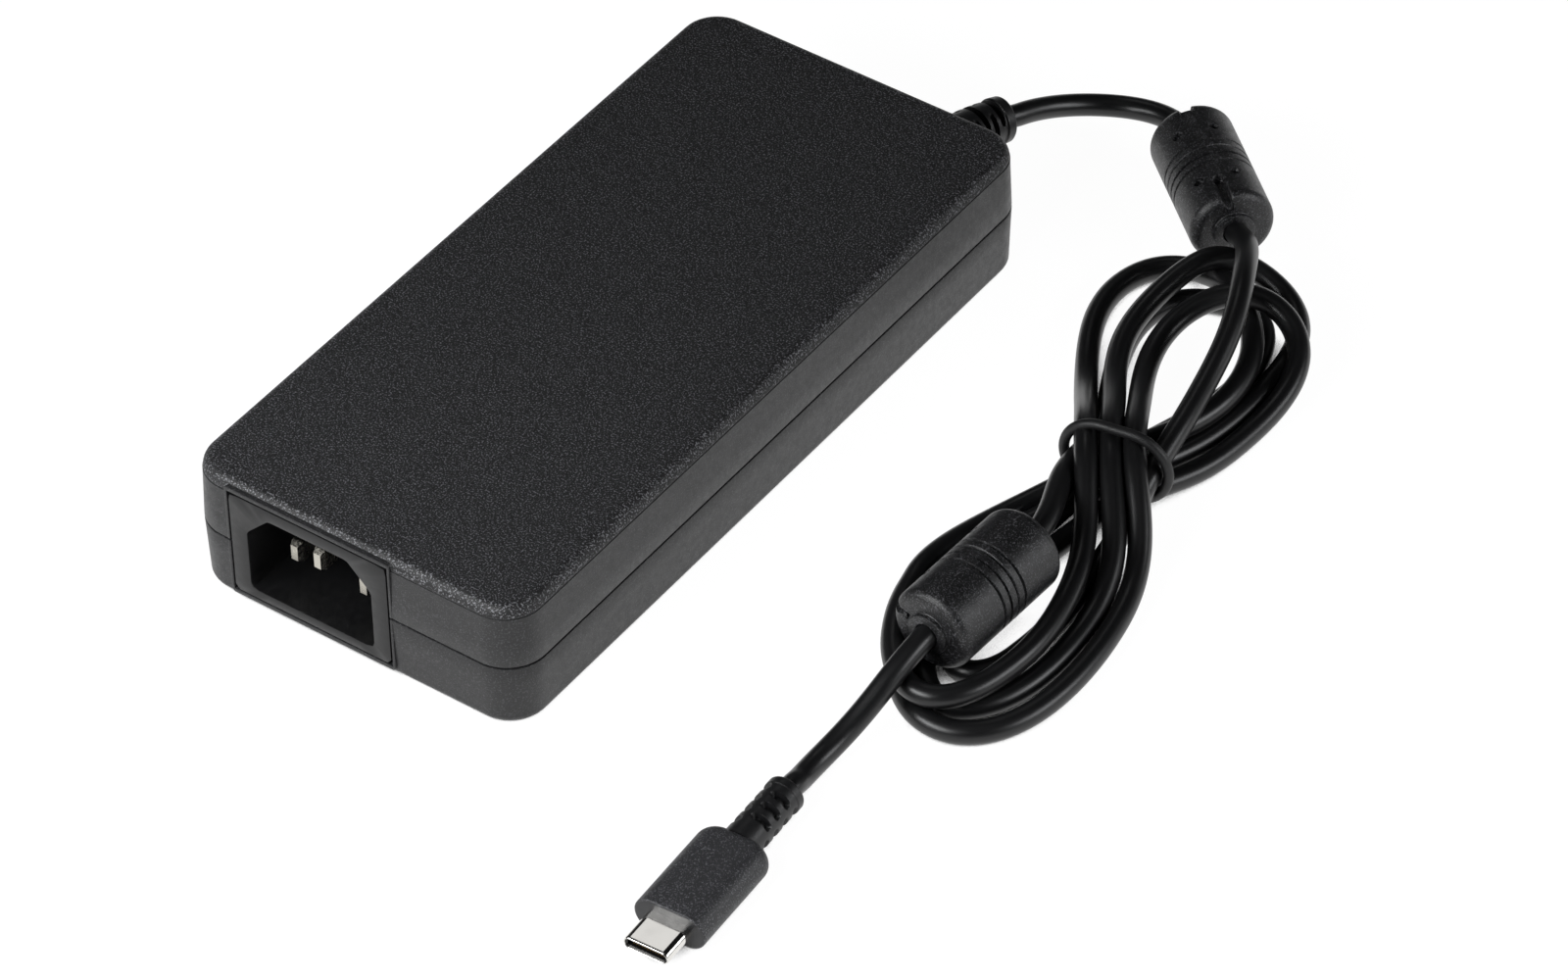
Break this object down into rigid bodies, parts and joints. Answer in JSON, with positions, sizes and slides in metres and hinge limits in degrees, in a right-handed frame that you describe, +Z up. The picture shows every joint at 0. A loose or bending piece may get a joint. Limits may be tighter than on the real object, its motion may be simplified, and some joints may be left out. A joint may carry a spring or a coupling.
{
  "type": "laptop power adapter",
  "caption": "Laptop power adapter: slim rectangular two-shell brick with a recessed mains inlet, and a tied hank of thin output lead with ferrite sleeves and a USB-C plug",
  "frame": {"origin": "centre of the brick's base, on the surface it lies on, with the free cord and what is on it left out", "axes": "+Z up; the brick's length along Y with the mains inlet at the -Y end and the output lead at the +Y end; +X towards the side where the tied hank lies"},
  "size_m": [0.1351, 0.2123, 0.0248],
  "materials": {
    "case_plastic": "injection-moulded ABS/PC, fine satin on the walls and a coarser grain on the flat top",
    "inlet_plastic": "moulded nylon, fine satin",
    "nickel_pin": "nickel-plated brass",
    "shell_steel": "nickel-plated steel, bright",
    "cord_pvc": "smooth soft PVC, semi-gloss",
    "relief_pvc": "moulded soft PVC, satin",
    "sleeve_plastic": "moulded PVC over a ferrite, fine grain",
    "grip_plastic": "moulded PVC, fine matt grain",
    "tie_rubber": "round elastic",
    "ferrite": "sintered ferrite, a dense dark ceramic",
    "board": "green solder mask",
    "copper_wire": "enamelled copper wire",
    "aluminium_plate": "bare sheet",
    "component_black": "moulded epoxy or sleeved can",
    "component_blue": "dipped coating",
    "component_yellow": "moulded box and wound film tape",
    "sheet_film": "polyester film",
    "pad_silicone": "silicone gap pad",
    "screw_steel": "zinc-plated steel",
    "contact_gold": "gold-plated contact",
    "wire_jacket": "insulated wire",
    "fuse_body": "ceramic tube with metal caps"
  },
  "bodies": {
    "root": {"top_cover": "case_plastic", "bottom_cover": "case_plastic", "inlet_housing": "inlet_plastic", "line_pin": "nickel_pin", "neutral_pin": "nickel_pin", "earth_pin": "nickel_pin", "inlet_wires": "wire_jacket", "circuit_board": "board", "lower_shield": "aluminium_plate", "insulating_sheet": "sheet_film", "heat_spreader": "aluminium_plate", "thermal_pads": "pad_silicone", "fuse": "fuse_body", "varistor": "component_blue", "filter_capacitor": "component_yellow", "filter_choke_core": "ferrite", "filter_choke_windings": "copper_wire", "safety_capacitors": "component_blue", "bridge_rectifier": "component_black", "boost_core": "ferrite", "boost_winding": "copper_wire", "bulk_capacitors": "component_black", "primary_heatsink": "aluminium_plate", "primary_switches": "component_black", "control_card": "board", "transformer_core": "ferrite", "transformer_winding": "component_yellow", "optocouplers": "component_black", "secondary_heatsink": "aluminium_plate", "secondary_switches": "component_black", "output_capacitors": "component_black", "output_choke": "ferrite", "charge_card": "board", "heatsink_screws": "screw_steel", "output_wires": "wire_jacket", "output_relief": "relief_pvc", "cord_upper": "cord_pvc", "cord_hank": "cord_pvc", "cord_lower": "cord_pvc", "tie_band": "tie_rubber", "upper_sleeve": "sleeve_plastic", "upper_ferrite": "ferrite", "lower_sleeve": "sleeve_plastic", "lower_ferrite": "ferrite", "plug_boot": "relief_pvc", "plug_grip": "grip_plastic", "plug_shell": "shell_steel", "plug_insert": "component_black", "plug_contacts": "contact_gold", "plug_card": "board"}
  },
  "joints": []
}
